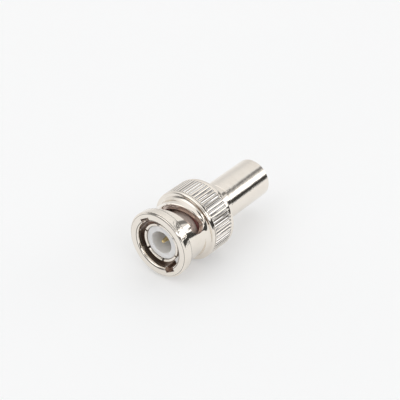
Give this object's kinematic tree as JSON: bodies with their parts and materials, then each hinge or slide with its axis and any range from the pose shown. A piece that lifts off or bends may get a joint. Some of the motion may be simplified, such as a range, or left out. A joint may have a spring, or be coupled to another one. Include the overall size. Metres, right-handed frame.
{
  "type": "bnc terminator",
  "caption": "Coaxial bayonet terminator: slotted coupling nut with fluted grip turning on a plug body, white insulator, gold centre pin and a closed cylindrical end cap.",
  "frame": {"origin": "centre of the closed end cap's flat end, which the part stands on", "axes": "+Z along the shared axis from the end cap to the mating face; the two bayonet keyways lie at +X and -X, and their slots run round from there to -Y and to +Y"},
  "size_m": [0.0144, 0.0144, 0.0302],
  "materials": {
    "bright_nickel": "polished",
    "body_nickel": "polished",
    "cap_nickel": "polished",
    "pin_gold": "satin",
    "white_insulator": "satin",
    "rear_insulator_white": "satin",
    "red_gasket": "satin",
    "spring_steel": "satin",
    "washer_steel": "satin",
    "ring_steel": "satin",
    "resistor_coating": "satin",
    "front_lead_tin": "satin",
    "rear_lead_tin": "satin",
    "insulating_tube": "satin",
    "solder": "satin"
  },
  "bodies": {
    "connector_body": {"contact_body": "body_nickel", "gasket": "red_gasket", "front_insulator": "white_insulator", "rear_insulator": "rear_insulator_white", "center_pin": "pin_gold", "wave_washer": "spring_steel", "end_cap": "cap_nickel", "resistor_body": "resistor_coating", "resistor_front_lead": "front_lead_tin", "resistor_rear_lead": "rear_lead_tin", "resistor_sleeve": "insulating_tube", "ground_solder": "solder"},
    "washer": {"thrust_washer": "washer_steel"},
    "coupling": {"coupling_nut": "bright_nickel", "retaining_ring": "ring_steel"}
  },
  "joints": [
    {"name": "nut_draw", "type": "slide", "parent": "connector_body", "child": "washer", "axis": [0, 0, 1], "range_m": [0, 0.0006], "stiffness_N_per_m": 5000, "springref_m": -0.0002, "deforming": ["wave_washer"]},
    {"name": "nut_turn", "type": "hinge", "parent": "washer", "child": "coupling", "pos_m": [0, 0, 0.02], "axis": [0, 0, 1], "continuous": true}
  ]
}
